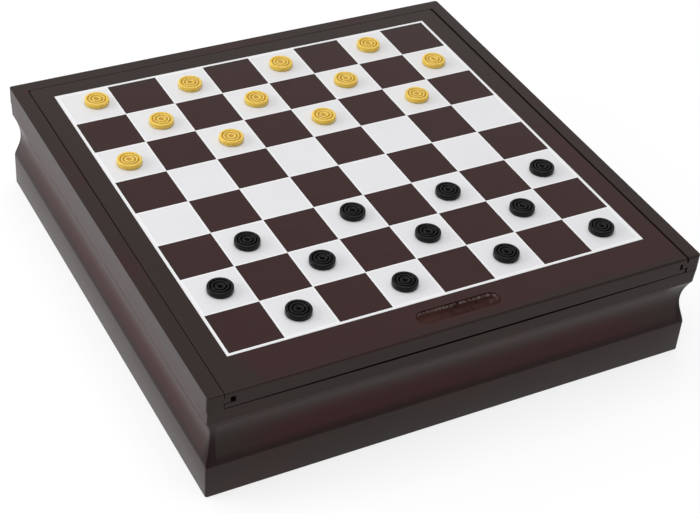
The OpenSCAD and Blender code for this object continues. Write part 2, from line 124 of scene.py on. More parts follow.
# Each plastic or paint: its colour, the colour of its flow marks, how rough it is, how much light
# goes under its surface, and its gloss.
PLASTICS = {
    "yellow_plastic": ((0.78, 0.54, 0.090), (0.70, 0.48, 0.076), 0.38, 0.9, 0.5),
    # A darker copy of the yellow plastic, as painted shade in the draughts' grooves.
    "yellow_groove_shade": ((0.56, 0.31, 0.040), (0.50, 0.26, 0.034), 0.5, 0.3, 0.5),
    "black_plastic": ((0.0016, 0.0016, 0.0018), (0.003, 0.003, 0.0033), 0.24, 0.0, 0.19),
    # A darker copy of the black plastic, as painted shade in the draughts' grooves.
    "black_groove_shade": ((0.0008, 0.0008, 0.0008), (0.002, 0.002, 0.002), 0.6, 0.0, 0.03),
    "ivory_plastic": ((0.76, 0.70, 0.56), (0.70, 0.63, 0.48), 0.22, 0.15, 0.5),
    "pip_paint": (FLAT_BLACK, (0.012, 0.012, 0.012), 0.30, 0.0, 0.5),
    "waxed_thread": ((0.42, 0.33, 0.20), (0.30, 0.22, 0.12), 0.6, 0.0, 0.5)}

# ---------- places on the box ----------


def box_mm(node):
    """Lowest and highest corner of a CAD node."""
    low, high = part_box(node)
    return low / MM, high / MM


def foot_of(node):
    """The middle of a CAD node's underside."""
    low, high = box_mm(node)
    return Vector(((low.x + high.x) / 2, (low.y + high.y) / 2, low.z))


SIDE_RAILS = ("left_rail", "right_rail")
DIVIDERS = ("spine_divider", "left_divider", "right_divider", "middle_divider")
LID_LOW, LID_HIGH = box_mm("lid_panel")
PRINT_LOW, PRINT_HIGH = box_mm("board_print")
WALL_LOW, WALL_HIGH = box_mm("front_wall")
PANEL_LOW, PANEL_HIGH = box_mm("base_panel")
LINING_TOP = box_mm("lining")[1].z
HALF_WIDTH = WALL_HIGH.x
HALF_DEPTH = box_mm("left_wall")[1].y
BOX_TOP = LID_HIGH.z
WALL_TOP = WALL_HIGH.z
WALL_THICKNESS = WALL_HIGH.y - WALL_LOW.y
GLUE_GAP = 0.1

# The walls' moulding: a band above and a foot below, with a cove between them.
BAND_HEIGHT = 21.7
FOOT_TOP = 24.0
COVE_TOP = BOX_TOP - BAND_HEIGHT
COVE_DEPTH = 3.85
COVE_DEEPEST = 43.0
COVE_SOFTNESS = 1.3
COVE_STEPS = 28
FOOT_ROUNDING = 0.7
CORNER_ROUNDING = 1.6
TOP_ROUNDING = 0.3
FRONT_SAG = 1.1
ARRIS_EASE = 0.45

# Where a wall has a plain cross-section, as shares of half its length.
PLAIN_SECTIONS = (-0.9, -0.7, -0.4, 0.15, 0.45, 0.7, 0.9)

# The print's border and squares, the scoop in the lid's front margin, and the chip in the rail.
BORDER = 1.8
SQUARE = (PRINT_HIGH.x - PRINT_LOW.x - 2 * BORDER) / 8
SCOOP_MIDDLE = LID_LOW.y + 14.6
SCOOP_REACH = 6.5
SCOOP_HALF = 30
CHIP_REACH = 1.2

# The draughts: their edge, two grooves and the dish in the middle, darker as painted shade where
# they are deep, and the least and the most that a radius falls short, as shares of it.
DRAUGHT_LOW, DRAUGHT_HIGH = box_mm("light_draught_01")
DRAUGHT_RADIUS = (DRAUGHT_HIGH.x - DRAUGHT_LOW.x) / 2
DRAUGHT_THICKNESS = DRAUGHT_HIGH.z - DRAUGHT_LOW.z
DRAUGHT_EDGE = 0.75
GROOVE_RADII = (6.1, 3.85)
GROOVE_HALF_WIDTH = 0.72
GROOVE_DEPTH = 0.9
DISH_RADIUS = 2.3
GROOVE_SHADE_DEPTH = 0.35
SHADED_DISH_RADIUS = 1.6
DRAUGHT_SIDES = 72
OUT_OF_ROUND = (0.0006, 0.0016)

# The dominoes: the gap between tiles, their thickness and the height of a layer.
TILE_COLUMNS = 2
TILE_ROWS = 7
TILE_GAP = 0.5
TILE_THICKNESS = 7
TILE_LAYER = 7.1
TILE_PIP_PITCH = 5.6
TILE_PIP_RADIUS = 1.7

# The dice: their side, the distance between them and how far each is turned past the last.
DICE = 5
DIE = box_mm("dice")[1].z - box_mm("dice")[0].z
DIE_PITCH = 1.5 * DIE
DIE_TURN = 25
DIE_PIP_PITCH = 3.9
DIE_PIP_RADIUS = 1.45

# A pip's rings, as (share of its radius, height above the face).
PIP_RINGS = ((1.0, 0.0), (0.9, 0.035), (0.5, 0.05))
PIP_SIDES = 16

# The stitches round the dice cup, which lie a little inside its widest radius.
STITCHES = 44
STITCH_LENGTH = 2.6
STITCH_THICKNESS = 0.35
STITCH_BELOW_RIM = 6.5
STITCH_INSET = 1.65

# The tuck boxes: the pitch of the lattice along X and Y, where the frame line and the lattice
# lie, counted from the face's rim, and how softly the ink ends.
LATTICE_PITCH = 8.0
FRAME_START = 5.2
FRAME_END = 6.6
LATTICE_START = 7.9
INK_SOFTNESS = 0.3


# ---------- materials ----------


class Paint:
    """One material, built node by node. What adds a node returns the socket that comes out."""

    def __init__(self, name):
        self.material = bpy.data.materials.new(name)
        self.material.use_nodes = True
        self.nodes = self.material.node_tree.nodes
        self.links = self.material.node_tree.links
        self.shader = self.nodes["Principled BSDF"]
        coordinates = self.nodes.new("ShaderNodeTexCoord")
        self.place = self.stretch(coordinates.outputs["Object"], (1 / MM, 1 / MM, 1 / MM))
        self.x, self.y, self.z = self.split(self.place)

    def feed(self, socket, value):
        """Gives a socket a number, a colour or what comes out of another node."""
        if isinstance(value, bpy.types.NodeSocket):
            self.links.new(value, socket)
        elif isinstance(value, tuple) and socket.type == "RGBA":
            socket.default_value = (*value, 1)
        else:
            socket.default_value = value

    def split(self, vector):
        """The three parts of a vector."""
        node = self.nodes.new("ShaderNodeSeparateXYZ")
        self.feed(node.inputs[0], vector)
        return node.outputs[0], node.outputs[1], node.outputs[2]

    def stretch(self, vector, factors):
        """A vector times three factors, axis by axis."""
        node = self.nodes.new("ShaderNodeVectorMath")
        node.operation = "MULTIPLY"
        self.feed(node.inputs[0], vector)
        self.feed(node.inputs[1], factors)
        return node.outputs[0]

    def math(self, operation, first, *others):
        """The operation on the first value and the second, then on that and the third, and so on."""
        result = first
        for value in others:
            node = self.nodes.new("ShaderNodeMath")
            node.operation = operation
            self.feed(node.inputs[0], result)
            self.feed(node.inputs[1], value)
            result = node.outputs[0]
        return result

    def add(self, *values):
        return self.math("ADD", *values)

    def minus(self, a, b):
        return self.math("SUBTRACT", a, b)

    def times(self, *values):
        return self.math("MULTIPLY", *values)

    def least(self, *values):
        return self.math("MINIMUM", *values)

    def most(self, *values):
        return self.math("MAXIMUM", *values)

    def size(self, value):
        """The value without its sign."""
        return self.math("ABSOLUTE", value, 0.0)

    def step(self, value, start, end):
        """0 where value is at start, 1 where it is at end, and smooth in between."""
        node = self.nodes.new("ShaderNodeMapRange")
        node.interpolation_type = "SMOOTHSTEP"
        self.feed(node.inputs[0], value)
        node.inputs[1].default_value = start
        node.inputs[2].default_value = end
        return node.outputs[0]

    def noise(self, scale, detail=2.0, rough=0.5, stretch=(1, 1, 1), warp=0.0):
        """Soft noise about 0.5. scale is in waves per millimetre along an axis of stretch 1."""
        node = self.nodes.new("ShaderNodeTexNoise")
        self.feed(node.inputs["Vector"], self.stretch(self.place, stretch))
        node.inputs["Scale"].default_value = scale
        node.inputs["Detail"].default_value = detail
        node.inputs["Roughness"].default_value = rough
        node.inputs["Distortion"].default_value = warp
        return node.outputs[0]

    def mix(self, share, a, b):
        """Colour a where share is 0 and colour b where it is 1."""
        node = self.nodes.new("ShaderNodeMix")
        node.data_type = "RGBA"
        self.feed(node.inputs[0], share)
        self.feed(node.inputs[6], a)
        self.feed(node.inputs[7], b)
        return node.outputs[2]

    def over(self, color, top, mask, strength=1.0):
        """A colour with another on top of it where mask is 1, as thickly as strength says."""
        return self.mix(self.times(mask, strength), color, top)

    def bump(self, height, depth, below=None):
        """A bumped normal: height runs from 0 to 1, and depth is how deep that is."""
        node = self.nodes.new("ShaderNodeBump")
        node.inputs["Distance"].default_value = depth * MM
        self.feed(node.inputs["Height"], height)
        if below is not None:
            self.feed(node.inputs["Normal"], below)
        return node.outputs[0]

    def finish(self, color, roughness, normal, **constants):
        """Feeds the shader. The constants are its sockets' names with _ for a space."""
        self.feed(self.shader.inputs["Base Color"], color)
        self.feed(self.shader.inputs["Roughness"], roughness)
        self.feed(self.shader.inputs["Normal"], normal)
        for name, value in constants.items():
            self.shader.inputs[name.replace("_", " ")].default_value = value
        return self.material


# The stained wood: how its grain is drawn out along an axis, and its lacquer.
GRAIN_ALONG = {"x": (0.025, 1, 1), "y": (1, 0.025, 1)}
LACQUER_ROUGHNESS = 0.245
LACQUER_GLOSS = 0.13
SIDE_GLOSS = 0.11


def stained_wood(name, axis, redness_of, marks_on, black=BLACK_STAIN, red=RED_STAIN,
                 gloss=LACQUER_GLOSS):
    """Dark stained wood under satin lacquer, with its grain along the axis.
    redness_of(paint, cloud) is 0 on the black edges of the sprayed stain and 1 on its red
    fields. marks_on(paint, color) is the colour with the marks that only this piece has."""
    paint = Paint(name)
    cloud = paint.noise(0.018, detail=3)
    redness = paint.least(paint.most(redness_of(paint, cloud), 0.0), 1.0)
    grain = paint.noise(0.9, detail=4, rough=0.6, stretch=GRAIN_ALONG[axis])
    pores = paint.step(paint.noise(2.6, detail=2, stretch=GRAIN_ALONG[axis]), 0.60, 0.72)
    color = paint.mix(redness, black, red)
    color = paint.over(color, GRAIN_STAIN, paint.step(grain, 0.35, 0.75), 0.25)
    color = paint.over(color, PORE_STAIN, pores, 0.25)
    color = marks_on(paint, color)
    normal = paint.bump(paint.noise(1.3, detail=2), 0.010)
    normal = paint.bump(paint.minus(1.0, pores), 0.015, normal)
    roughness = paint.add(LACQUER_ROUGHNESS, paint.times(grain, 0.10))
    return paint.finish(color, roughness, normal, Specular_IOR_Level=gloss)


def lid_redness(paint, cloud):
    """The lid is black along its left and back edges, along the back half of its right edge
    and along the right half of its front edge."""
    wander = paint.times(paint.add(cloud, -0.5), 10)
    x, y = paint.add(paint.x, wander), paint.add(paint.y, wander)
    corner = paint.step(y, PRINT_LOW.y + 4, LID_LOW.y)
    left = paint.step(paint.add(x, paint.times(corner, -12)), PRINT_LOW.x - 4, PRINT_LOW.x + 10)
    back = paint.step(y, PRINT_HIGH.y + 2, PRINT_HIGH.y - 12)
    right = paint.most(paint.step(x, PRINT_HIGH.x + 8, PRINT_HIGH.x - 8),
                       paint.step(paint.add(paint.y, paint.times(cloud, 60)), 60, -10))
    front = paint.most(paint.step(y, LID_LOW.y, LID_LOW.y + 8),
                       paint.times(paint.step(paint.x, 30, -70), 0.7))
    top = paint.step(paint.z, BOX_TOP - 2.5, BOX_TOP - 0.5)
    return paint.least(left, back, right, front, top)


def lid_marks(paint, color):
    """The scoop is cut through the black stain: it is red-brown, brighter toward its left end,
    and its far upper edge carries painted highlights in short jagged strokes. Along the back
    half of the lid's sides the edges are darkened as painted shade of the gap beside the rails."""
    depth = paint.minus(BOX_TOP, paint.z)
    off = paint.minus(paint.y, SCOOP_MIDDLE)
    inside = paint.times(paint.step(paint.size(off), SCOOP_REACH + 1, SCOOP_REACH),
                         paint.step(paint.size(paint.x), SCOOP_HALF + 1, SCOOP_HALF),
                         paint.step(depth, 0.10, 0.35),
                         paint.step(paint.z, LID_LOW.z + 3, LID_LOW.z + 4))
    color = paint.over(color, SCOOP_STAIN, inside)
    blot = paint.noise(0.30, detail=3, rough=0.6)
    blots = paint.times(inside, paint.step(blot, 0.45, 0.65))
    color = paint.over(color, THICK_STAIN_AND_SHADE, blots, 0.6)
    # Painted highlights: pale jagged strokes along the far upper edge of the scoop.
    jagged = paint.noise(0.75, detail=3, rough=0.7, stretch=(1.0, 0.35, 0.35))
    strokes = paint.step(jagged, 0.42, 0.58)
    band = paint.times(paint.step(depth, 0.6, 1.1), paint.step(depth, 2.6, 1.7))
    highlight_strokes = paint.times(inside, paint.step(off, 1.5, 3.5), band, strokes)
    color = paint.over(color, SCOOP_HIGHLIGHT, highlight_strokes, 0.85)
    left_end = paint.times(inside, paint.step(paint.x, -6, -16), paint.step(depth, 0.8, 2.5))
    color = paint.over(color, LEFT_OF_SCOOP, left_end, 0.5)
    # Painted shade: the lid's side edges are darkened along the gap beside the rails.
    side = paint.least(paint.minus(paint.x, LID_LOW.x), paint.minus(LID_HIGH.x, paint.x))
    gap_shade = paint.step(paint.add(side, paint.times(blot, 0.8)), 1.3, 0.7)
    gap_shade = paint.times(gap_shade, paint.step(paint.y, -90, 60))
    return paint.over(color, THICK_STAIN_AND_SHADE, gap_shade, 0.9)


def wall_wood(name, axis, half, foot_shade, **finish):
    """The wood of two opposite walls, which reach along the axis for half to either side. They
    are red in the lower part of the cove, except near its ends. Thick stain and painted shade
    darken the cove just above the foot; painted shade darkens it beside the mitres and, at the
    share given for it, the foot. The top edge under the lid is painted black as shade."""

    def from_mitre(paint):
        return paint.minus(half, paint.size(paint.x if axis == "x" else paint.y))

    def redness(paint, cloud):
        wander = paint.times(paint.add(cloud, -0.5), 14)
        below = paint.step(paint.add(paint.z, wander), COVE_TOP - 3, COVE_TOP - 22)
        above = paint.step(paint.add(paint.z, paint.times(wander, 0.2)), FOOT_TOP - 1, FOOT_TOP + 1)
        ends = paint.step(paint.add(from_mitre(paint), paint.times(wander, 2)), 6, 60)
        foot = paint.times(paint.step(cloud, 0.45, 0.7), 0.35)
        return paint.most(paint.times(below, above, ends), foot)

    def marks(paint, color):
        # Painted shade on the foot at its given share and in the cove beside the mitres, and thick
        # stain with painted shade in the cove just above the foot.
        foot = paint.step(paint.z, FOOT_TOP + 0.5, FOOT_TOP - 0.5)
        cove = paint.times(paint.step(paint.z, FOOT_TOP - 0.5, FOOT_TOP + 0.8),
                           paint.step(paint.z, COVE_TOP, COVE_TOP - 6))
        low = paint.times(cove, paint.step(paint.z, FOOT_TOP + 8, FOOT_TOP + 1))
        mitre = paint.times(cove, paint.step(from_mitre(paint), 7.6, 6.4))
        for mask, strength in ((foot, foot_shade), (low, 0.9), (mitre, 0.85)):
            color = paint.over(color, THICK_STAIN_AND_SHADE, mask, strength)
        # Painted shade: the wall's upward top faces under the lid are painted flat black.
        upward = paint.split(paint.nodes.new("ShaderNodeNewGeometry").outputs["Normal"])[2]
        high = paint.step(paint.z, BOX_TOP - 20, BOX_TOP - 15)
        return paint.over(color, FLAT_BLACK, paint.times(paint.step(upward, 0.7, 0.9), high))

    return stained_wood(name, axis, redness, marks, red=MAROON_STAIN, **finish)


def rail_redness(paint, cloud):
    """A rail is red in clouds, and black near its ends."""
    clouds = paint.times(paint.step(cloud, 0.44, 0.60), 0.8)
    on_sides = paint.step(paint.size(paint.y), HALF_DEPTH - 50, HALF_DEPTH - 130)
    on_back = paint.step(paint.size(paint.x), HALF_WIDTH - 21, HALF_WIDTH - 71)
    return paint.times(clouds, paint.most(on_sides, on_back))


def rail_marks(paint, color):
    """A painted shadow line along the bottom of the right rail, where it is glued to the wall, and
    a chip in the inner corner of the left rail and the back rail, where the bare red wood shows."""
    # Painted shadow: a dark line along the foot of the rail on the right side.
    seam_shadow = paint.times(paint.step(paint.z, WALL_TOP + 1.3, WALL_TOP + 0.8),
                       paint.step(paint.x, 0, 1))
    color = paint.over(color, THICK_STAIN_AND_SHADE, seam_shadow, 0.95)
    across = paint.size(paint.add(paint.x, CHIP_REACH - LID_LOW.x))
    along = paint.times(paint.size(paint.minus(paint.y, LID_HIGH.y)), 0.5)
    ragged = paint.times(paint.noise(1.2, detail=3), 1.5)
    chip = paint.step(paint.add(across, along, ragged), CHIP_REACH + 1.4, CHIP_REACH + 0.8)
    return paint.over(color, CHIPPED, chip, 0.8)


def white_ink():
    """Printed white, a little denser along the edges of each square."""
    paint = Paint("white_ink")
    cloud = paint.noise(0.02, detail=2)
    mottle = paint.noise(0.5, detail=4, rough=0.6)
    color = paint.over(WHITE_INK, THIN_INK, paint.step(cloud, 0.3, 0.7))
    color = paint.over(color, MOTTLED_INK, paint.step(mottle, 0.4, 0.7), 0.10)
    edges = []
    for value, low in ((paint.x, PRINT_LOW.x), (paint.y, PRINT_LOW.y)):
        from_grid = paint.math("PINGPONG", paint.minus(value, low + BORDER), SQUARE / 2)
        edges.append(paint.step(from_grid, 1.6, 0.4))
    color = paint.over(color, DENSE_INK, paint.most(*edges), 0.7)
    normal = paint.bump(paint.noise(1.6, detail=3), 0.01)
    return paint.finish(color, paint.add(0.42, paint.times(cloud, 0.1)), normal)


def moulded_plastic(name):
    """One of the plastics, with faint flow marks."""
    color, marks, roughness, scatter, gloss = PLASTICS[name]
    paint = Paint(name)
    cloud = paint.noise(0.25, detail=3)
    mixed = paint.over(color, marks, paint.step(cloud, 0.3, 0.75))
    normal = paint.bump(paint.noise(3.0, detail=2), 0.012)
    level = paint.add(roughness, paint.times(cloud, 0.1))
    return paint.finish(mixed, level, normal, Specular_IOR_Level=gloss, Subsurface_Weight=scatter,
                        Subsurface_Radius=(1.0, 0.8, 0.4), Subsurface_Scale=4 * MM)


def felt():
    """Short felt: a fuzzy nap with a few stray fibres."""
    paint = Paint("green_felt")
    nap = paint.noise(2.2, detail=4, rough=0.7)
    fibres = paint.noise(1.2, detail=3, stretch=(0.35, 1.6, 1), warp=1.5)
    color = paint.over(FELT_GREEN, FELT_NAP, nap)
    color = paint.over(color, FELT_FIBRE, paint.step(fibres, 0.62, 0.75), 0.3)
    return paint.finish(color, 0.95, paint.bump(nap, 0.25), Sheen_Weight=0.4, Sheen_Roughness=0.5)


def turned_wood(name, wood, dark_grain, roughness):
    """Fine-grained wood turned on a lathe, with its grain up the piece."""
    paint = Paint(name)
    rings = paint.noise(0.55, detail=3, rough=0.55, stretch=(1, 1, 0.06), warp=0.4)
    fleck = paint.noise(2.5, detail=2, stretch=(1, 1, 0.12))
    color = paint.over(wood, dark_grain, paint.step(rings, 0.35, 0.7))
    color = paint.over(color, dark_grain, paint.step(fleck, 0.58, 0.75), 0.35)
    level = paint.add(roughness, paint.times(rings, 0.1))
    return paint.finish(color, level, paint.bump(fleck, 0.02), Coat_Weight=0.3, Coat_Roughness=0.2)


def inner_wood():
    """Plain wood inside the box, stained brown and left matt."""
    paint = Paint("inner_wood")
    grain = paint.noise(0.7, detail=4, rough=0.6, stretch=(0.05, 0.05, 1))
    fleck = paint.noise(2.4, detail=2, stretch=(0.12, 0.12, 1))
    color = paint.over(BROWN_STAIN, BROWN_GRAIN, paint.step(grain, 0.3, 0.7))
    color = paint.over(color, BROWN_FLECK, paint.step(fleck, 0.6, 0.75), 0.5)
    return paint.finish(color, paint.add(0.55, paint.times(grain, 0.15)), paint.bump(grain, 0.05))


def printed_card(name, ink, node):
    """A tuck box of coated card: a white lattice on a field of one ink, inside a frame line and
    a white border, with plain inked sides and bare card in the thumb notch."""
    paint = Paint(name)
    low, high = box_mm(node)
    slopes = [paint.add(paint.x, paint.times(paint.y, sign)) for sign in (1, -1)]
    lines = [paint.math("PINGPONG", slope, LATTICE_PITCH / 2) for slope in slopes]
    between = paint.step(paint.least(*lines), 0.45, 0.75)
    rim = paint.least(paint.minus(paint.x, low.x), paint.minus(high.x, paint.x),
                      paint.minus(paint.y, low.y), paint.minus(high.y, paint.y))
    frame_line = paint.times(paint.step(rim, FRAME_START, FRAME_START + INK_SOFTNESS),
                             paint.step(rim, FRAME_END + INK_SOFTNESS, FRAME_END))
    field = paint.times(between, paint.step(rim, LATTICE_START, LATTICE_START + INK_SOFTNESS))
    side = paint.step(paint.z, high.z - 0.1, high.z - 0.3)
    color = paint.over(CARD_WHITE, ink, paint.most(frame_line, field, side))
    color = paint.over(color, BARE_CARD, paint.times(side, paint.step(rim, 0.3, 0.6)))
    scuff = paint.noise(0.12, detail=4, rough=0.7)
    color = paint.over(color, CARD_WHITE, paint.step(scuff, 0.62, 0.8), 0.3)
    normal = paint.bump(paint.noise(1.5, detail=3), 0.02)
    return paint.finish(color, paint.add(0.32, paint.times(scuff, 0.15)), normal)


def cup_leather():
    """Black grained leather."""
    paint = Paint("cup_leather")
    cells = paint.nodes.new("ShaderNodeTexVoronoi")
    cells.inputs["Scale"].default_value = 0.9
    paint.feed(cells.inputs["Vector"], paint.place)
    grain = paint.add(cells.outputs["Distance"], paint.times(paint.noise(2.0, detail=3), 0.5))
    color = paint.over(CUP_LEATHER, WORN_LEATHER, paint.step(grain, 0.2, 0.9))
    return paint.finish(color, 0.48, paint.bump(grain, 0.12), Coat_Weight=0.15, Coat_Roughness=0.35)


# ---------- meshes ----------


class Shell:
    """A mesh in the making. Points that fall together are one vertex."""

    def __init__(self):
        self.mesh = bmesh.new()
        self.known = {}

    def point(self, x, y, z):
        """The vertex at a place."""
        key = (round(x, 4), round(y, 4), round(z, 4))
        if key not in self.known:
            self.known[key] = self.mesh.verts.new(Vector(key) * MM)
        return self.known[key]

    def circle(self, centre, side, other, radius, count):
        """Points round a circle in the plane of two directions."""
        turns = (math.tau * k / count for k in range(count))
        spots = (centre + side * (radius * math.cos(turn)) + other * (radius * math.sin(turn))
                 for turn in turns)
        return [self.point(*spot) for spot in spots]

    def face(self, corners):
        """A face between points, unless it has no area or is there already."""
        verts = list(dict.fromkeys(corners))
        if len(verts) < 3:
            return
        a, b, c = (v.co for v in verts[:3])
        flat = len(verts) == 3 and (b - a).cross(c - a).length < 1e-12
        if not flat and self.mesh.faces.get(verts) is None:
            self.mesh.faces.new(verts)

    def loft(self, lines, around):
        """Faces between each line of points and the next. Where around is true, the lines are
        rings. Otherwise they are open, and the last is joined to the first."""
        following = lines[1:] if around else lines[1:] + lines[:1]
        for a, b in zip(lines, following):
            for i in range(len(a) if around else len(a) - 1):
                k = (i + 1) % len(a)
                self.face((a[i], a[k], b[k], b[i]))

    def solid(self, rings):
        """A closed solid through the rings."""
        self.loft(rings, around=True)
        self.face(rings[0])
        self.face(rings[-1])

    def piece(self, name, body, slot, material, stands_for=None, crease=35.0):
        """Makes the piece and returns it. Edges sharper than crease degrees stay sharp."""
        bmesh.ops.recalc_face_normals(self.mesh, faces=self.mesh.faces)
        data = bpy.data.meshes.new(name)
        self.mesh.to_mesh(data)
        self.mesh.free()
        data.shade_smooth()
        data.set_sharp_from_angle(angle=math.radians(crease))
        data.materials.append(material)
        piece = bpy.data.objects.new(name, data)
        bpy.context.scene.collection.objects.link(piece)
        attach(piece, body)
        if stands_for is not None:
            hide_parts(stands_for)
        return piece


def cove_inset(z):
    """How far the cove lies behind the flats: a round hollow above that runs out softly below."""
    if z >= COVE_TOP or z <= FOOT_TOP:
        return 0.0
    if z > COVE_DEEPEST:
        return COVE_DEPTH * (1 - ((z - COVE_DEEPEST) / (COVE_TOP - COVE_DEEPEST)) ** 2)
    rise = (z - FOOT_TOP) / (COVE_DEEPEST - FOOT_TOP)
    return COVE_DEPTH * math.sin(rise * math.pi / 2) ** COVE_SOFTNESS


def moulding():
    """The outer face of a wall from top to bottom, as (inset, height)."""
    soft = 0.4
    heights = [WALL_TOP, COVE_TOP + 3 * soft, COVE_TOP + soft, COVE_TOP, COVE_TOP - soft]
    fall = (COVE_TOP - FOOT_TOP) / COVE_STEPS
    heights += [COVE_TOP - fall * k for k in range(1, COVE_STEPS)]
    heights += [FOOT_TOP + soft, FOOT_TOP, FOOT_TOP - soft, FOOT_TOP - 4 * soft]
    outline = [(cove_inset(z), z) for z in heights]
    for turn in (math.pi / 2 * k / 3 for k in range(4)):
        outline.append((FOOT_ROUNDING * (1 - math.cos(turn)), FOOT_ROUNDING * (1 - math.sin(turn))))
    return outline


def housings_in(along, outward, reach):
    """The dividers' housings in a wall, as (start, end, inset): where each begins and ends along
    the wall, and how far its bottom lies behind the outer face."""
    housings = []
    for divider in DIVIDERS:
        corners = box_mm(divider)
        inset = reach - max(corner.dot(outward) for corner in corners)
        if inset < WALL_THICKNESS:
            start, end = sorted(corner.dot(along) for corner in corners)
            housings.append((start - GLUE_GAP, end + GLUE_GAP, inset - GLUE_GAP))
    return housings


def wall_piece(name, along, outward, half, reach, material, sag=0.0):
    """A wall with mitred, rounded ends, a groove for the bottom panel and the dividers'
    housings. along and outward are directions, half is half its length, and reach is how far
    its outer face is from the middle of the box. Its top edge sags in the middle."""
    housings = housings_in(along, outward, reach)
    panel_reach = max(abs(PANEL_HIGH.dot(outward)), abs(PANEL_LOW.dot(outward)))
    groove = reach - panel_reach - GLUE_GAP
    groove_top = PANEL_HIGH.z + GLUE_GAP
    inner = [(WALL_THICKNESS, 0), (WALL_THICKNESS, PANEL_LOW.z), (groove, PANEL_LOW.z),
             (groove, groove_top), (WALL_THICKNESS, groove_top), (WALL_THICKNESS, LINING_TOP)]
    # A line of points along the top face, in front of every housing, keeps its faces simple.
    lip = min([inset for start, end, inset in housings], default=WALL_THICKNESS - 1)
    shell = Shell()

    def place(run, inset, z):
        if z == WALL_TOP:
            z -= sag * max(0.0, 1 - (run / half) ** 2)
        spot = along * run + outward * (reach - inset)
        return shell.point(spot.x, spot.y, z)

    def inside(housing):
        """The inner face from bottom to top, where it lies at housing above the lining."""
        return inner + [(housing, LINING_TOP), (housing, WALL_TOP), (lip, WALL_TOP)]

    def straight(run, housing):
        """The cross-section at a place along the wall."""
        return [place(run, inset, z) for inset, z in moulding() + inside(housing)]

    def mitred(end, turn):
        """The cross-section along the mitre at an end, -1 or 1, turned so far into the rounding
        of its corner."""
        points = []
        for inset, z in moulding():
            rounding = TOP_ROUNDING if z == WALL_TOP else CORNER_ROUNDING
            run = half - inset - rounding * (1 - math.sin(turn))
            points.append(place(end * run, inset + rounding * (1 - math.cos(turn)), z))
        inner_face = inside(WALL_THICKNESS)
        return points + [place(end * (half - inset), inset, z) for inset, z in inner_face]

    sections = [(half * share, WALL_THICKNESS) for share in PLAIN_SECTIONS]
    for start, end, inset in housings:
        sections += [(start, WALL_THICKNESS), (start, inset), (end, inset), (end, WALL_THICKNESS)]
    sections.sort(key=lambda section: section[0])
    turns = [math.pi / 4 * k / 6 for k in range(7)]
    shell.solid([mitred(-1, turn) for turn in reversed(turns)]
                + [straight(run, housing) for run, housing in sections]
                + [mitred(1, turn) for turn in turns])
    shell.piece(name.replace("wall", "moulding"), "box", "stained_wood", material, name)


def make_walls():
    x, y = Vector((1, 0, 0)), Vector((0, 1, 0))
    front_back = wall_wood("stained_front_back", "x", HALF_WIDTH, 0.0)
    sides = wall_wood("stained_sides", "y", HALF_DEPTH, 0.5, black=SIDE_STAIN, gloss=SIDE_GLOSS)
    wall_piece("front_wall", x, -y, HALF_WIDTH, HALF_DEPTH, front_back, FRONT_SAG)
    wall_piece("back_wall", -x, y, HALF_WIDTH, HALF_DEPTH, front_back)
    wall_piece("left_wall", -y, -x, HALF_DEPTH, HALF_WIDTH, sides)
    wall_piece("right_wall", y, x, HALF_DEPTH, HALF_WIDTH, sides)


def draught_face(radius):
    """How far a draught's face lies below its rim at a radius."""
    if radius < DISH_RADIUS:
        return GROOVE_DEPTH * math.cos(radius / DISH_RADIUS * math.pi / 2) ** 0.5
    off = min(abs(radius - groove) for groove in GROOVE_RADII) / GROOVE_HALF_WIDTH
    return GROOVE_DEPTH * (1 - off ** 1.2) if off < 1 else 0.0


def draught_outline():
    """Half of a draught's cross-section from the middle of its top to the middle of its foot."""
    flat = DRAUGHT_RADIUS - DRAUGHT_EDGE
    count = 48
    face = [(flat * k / count, draught_face(flat * k / count)) for k in range(count + 1)]
    for turn in (math.pi / 2 * k / 6 for k in range(1, 6)):
        face.append((flat + DRAUGHT_EDGE * math.sin(turn), DRAUGHT_EDGE * (1 - math.cos(turn))))
    upper = [(radius, DRAUGHT_THICKNESS - drop) for radius, drop in face]
    side = [(DRAUGHT_RADIUS, DRAUGHT_THICKNESS - DRAUGHT_EDGE), (DRAUGHT_RADIUS, DRAUGHT_EDGE)]
    return upper + side + face[::-1]


def lathe(shell, outline, centre, segments, wobble):
    """Turns an outline of (radius, height) about an upright axis through the centre. wobble is
    what the radius is multiplied by at an angle."""
    lines = []
    for angle in (math.tau * k / segments for k in range(segments)):
        out = Vector((math.cos(angle), math.sin(angle), 0)) * wobble(angle)
        lines.append([shell.point(*(centre + out * radius + Vector((0, 0, height))))
                      for radius, height in outline])
    shell.loft(lines, around=False)


def make_draughts(side, plastic, groove):
    """The twelve draughts of a side, each a little out of round as moulded ones are. The deep
    parts of their grooves and dish get a darker material as painted shade."""
    chance = random.Random(side)
    material, groove_shade_material = moulded_plastic(plastic), moulded_plastic(groove)
    outline = draught_outline()
    for node in numbered(side):
        centre = foot_of(node)
        phase, size = chance.uniform(0, math.tau), chance.uniform(*OUT_OF_ROUND)
        shell = Shell()
        lathe(shell, outline, centre, DRAUGHT_SIDES,
              lambda angle: 1 - size * (1 + math.cos(2 * angle + phase)) / 2)
        piece = shell.piece(node.replace("draught", "ringed_draught"), node, plastic, material,
                            node, 60)
        piece.data.materials.append(groove_shade_material)
        # Faces deep in the grooves and in the middle of the dish get the darker material: painted
        # shade.
        for face in piece.data.polygons:
            off = face.center / MM - centre
            radius = math.hypot(off.x, off.y)
            if draught_face(radius) > GROOVE_SHADE_DEPTH and not SHADED_DISH_RADIUS < radius < DISH_RADIUS:
                face.material_index = 1


